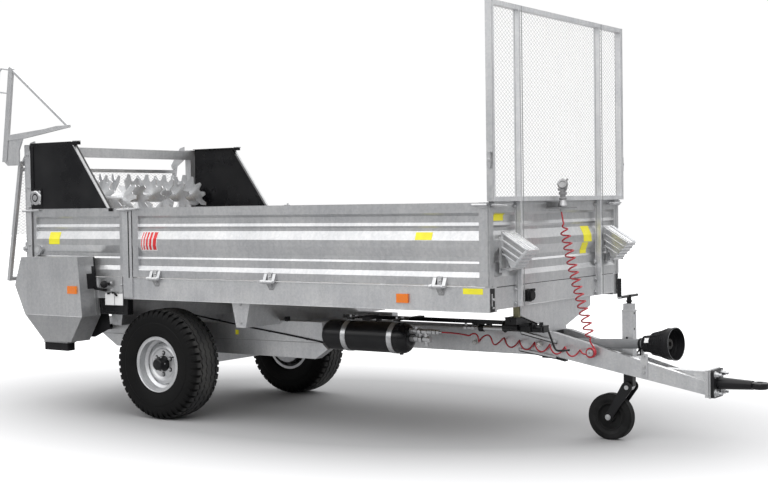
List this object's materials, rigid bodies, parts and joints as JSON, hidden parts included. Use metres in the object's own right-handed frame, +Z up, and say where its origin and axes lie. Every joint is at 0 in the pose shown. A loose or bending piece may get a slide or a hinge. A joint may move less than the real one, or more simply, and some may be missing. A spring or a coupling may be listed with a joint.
{
  "type": "manure spreader",
  "caption": "Single-axle towed manure spreader: ribbed load box, two cross beaters with a tilting rear mesh gate, front mesh guard, narrow drawbar, jockey wheel and drive shaft.",
  "frame": {"origin": "middle of the bounding box on the ground", "axes": "+X forward to the tow eye, +Y left, +Z up"},
  "size_m": [6.1172, 2.358, 2.903],
  "materials": {
    "galvanised_sheet": "galvanised sheet steel",
    "galvanised": "hot-dip galvanised steel",
    "black_paint": "gloss black paint",
    "zinc_steel": "zinc plated steel",
    "bare_steel": "bare worn steel",
    "tyre_rubber": "black tyre rubber",
    "black_rubber": "black rubber",
    "red_hose": "red translucent hose",
    "wheel_paint": "pale silver wheel paint",
    "black_plastic": "matt black plastic",
    "grey_plastic": "grey plastic",
    "olive_paint": "olive paint",
    "yellow_plastic": "yellow plastic",
    "planks": "weathered planks",
    "lamp_amber": "amber lens"
  },
  "bodies": {
    "chassis": {"air_tank": "black_paint", "axle": "galvanised", "beater_cheek_left": "black_paint", "beater_cheek_right": "black_paint", "board_hinges": "galvanised", "brake_post": "olive_paint", "brake_rod": "black_paint", "brake_valve": "black_plastic", "chassis_frame": "galvanised", "chock_holders": "zinc_steel", "coupling_head": "zinc_steel", "drawbar": "galvanised", "drawbar_head": "galvanised", "drive_guard_left": "galvanised", "drive_guard_right": "galvanised", "drive_line": "bare_steel", "floor_frame": "galvanised", "floor_planks": "planks", "floor_slats": "bare_steel", "front_gusset": "galvanised", "front_wall": "galvanised_sheet", "guard_frame": "galvanised", "guard_mesh": "galvanised", "hose_coil": "red_hose", "hose_hook": "black_paint", "hose_tail": "red_hose", "hose_waves": "red_hose", "jack_tube": "galvanised", "lamps": "lamp_amber", "lever_panel": "galvanised", "mid_posts": "galvanised", "pto_bearing": "galvanised_sheet", "pto_bracket": "galvanised", "pto_cone": "black_plastic", "pto_guard_tube": "grey_plastic", "rear_board_left": "galvanised_sheet", "rear_board_right": "galvanised_sheet", "rear_frame": "galvanised", "rear_gearbox": "galvanised_sheet", "tank_straps": "galvanised", "tow_eye": "black_paint", "wheel_chock_left": "galvanised", "wheel_chock_right": "galvanised"},
    "wheel_right": {"tyre_right": "tyre_rubber", "rim_right": "wheel_paint", "hub_right": "galvanised_sheet"},
    "wheel_left": {"tyre_left": "tyre_rubber", "rim_left": "wheel_paint", "hub_left": "galvanised_sheet"},
    "jack_screw": {"jack_leg": "zinc_steel"},
    "jockey_pivot": {"jockey_fork": "black_paint"},
    "jockey_roller": {"jockey_wheel": "black_rubber"},
    "beater_top": {"beater_upper": "galvanised_sheet"},
    "beater_bottom": {"beater_lower": "galvanised_sheet"},
    "pto_line": {"pto_shaft": "bare_steel"},
    "rear_gate": {"gate_frame": "galvanised", "gate_mesh": "galvanised", "gate_lever": "galvanised"},
    "drop_side_right": {"side_board_right": "galvanised_sheet"},
    "drop_side_left": {"side_board_left": "galvanised_sheet"}
  },
  "joints": [
    {"name": "wheel_right_spin", "type": "hinge", "parent": "chassis", "child": "wheel_right", "pos_m": [-1.353, -0.8025, 0.4225], "axis": [0, 1, 0], "continuous": true},
    {"name": "wheel_left_spin", "type": "hinge", "parent": "chassis", "child": "wheel_left", "pos_m": [-1.353, 0.8025, 0.4225], "axis": [0, 1, 0], "continuous": true},
    {"name": "jack_lift", "type": "slide", "parent": "chassis", "child": "jack_screw", "axis": [0, 0, 1], "range_m": [0, 0.16]},
    {"name": "jockey_fold", "type": "hinge", "parent": "jack_screw", "child": "jockey_pivot", "pos_m": [2.124, 0, 0.368], "axis": [0, 1, 0], "range_deg": [0, 38]},
    {"name": "jockey_spin", "type": "hinge", "parent": "jockey_pivot", "child": "jockey_roller", "pos_m": [1.989, 0, 0.158], "axis": [0, 1, 0], "continuous": true},
    {"name": "beater_top_spin", "type": "hinge", "parent": "chassis", "child": "beater_top", "pos_m": [-2.6, 0, 1.712], "axis": [0, 1, 0], "continuous": true},
    {"name": "beater_bottom_spin", "type": "hinge", "parent": "chassis", "child": "beater_bottom", "pos_m": [-2.6, 0, 1.29], "axis": [0, 1, 0], "continuous": true},
    {"name": "pto_spin", "type": "hinge", "parent": "chassis", "child": "pto_line", "pos_m": [1.659, 0, 0.64], "axis": [0.9865, -0.1543, 0.0541], "continuous": true},
    {"name": "gate_swing", "type": "hinge", "parent": "chassis", "child": "rear_gate", "pos_m": [-2.853, 0, 2], "axis": [0, 1, 0], "range_deg": [0, 90]},
    {"name": "drop_right", "type": "hinge", "parent": "chassis", "child": "drop_side_right", "pos_m": [-1.353, -0.997, 1.083], "axis": [1, 0, 0], "range_deg": [0, 170]},
    {"name": "drop_left", "type": "hinge", "parent": "chassis", "child": "drop_side_left", "pos_m": [-1.353, 0.997, 1.083], "axis": [-1, 0, 0], "range_deg": [0, 170]}
  ],
  "couplings": [
    {"joint": "beater_bottom_spin", "follows": "beater_top_spin", "ratio": 1},
    {"joint": "pto_spin", "follows": "beater_top_spin", "ratio": 1.35}
  ]
}
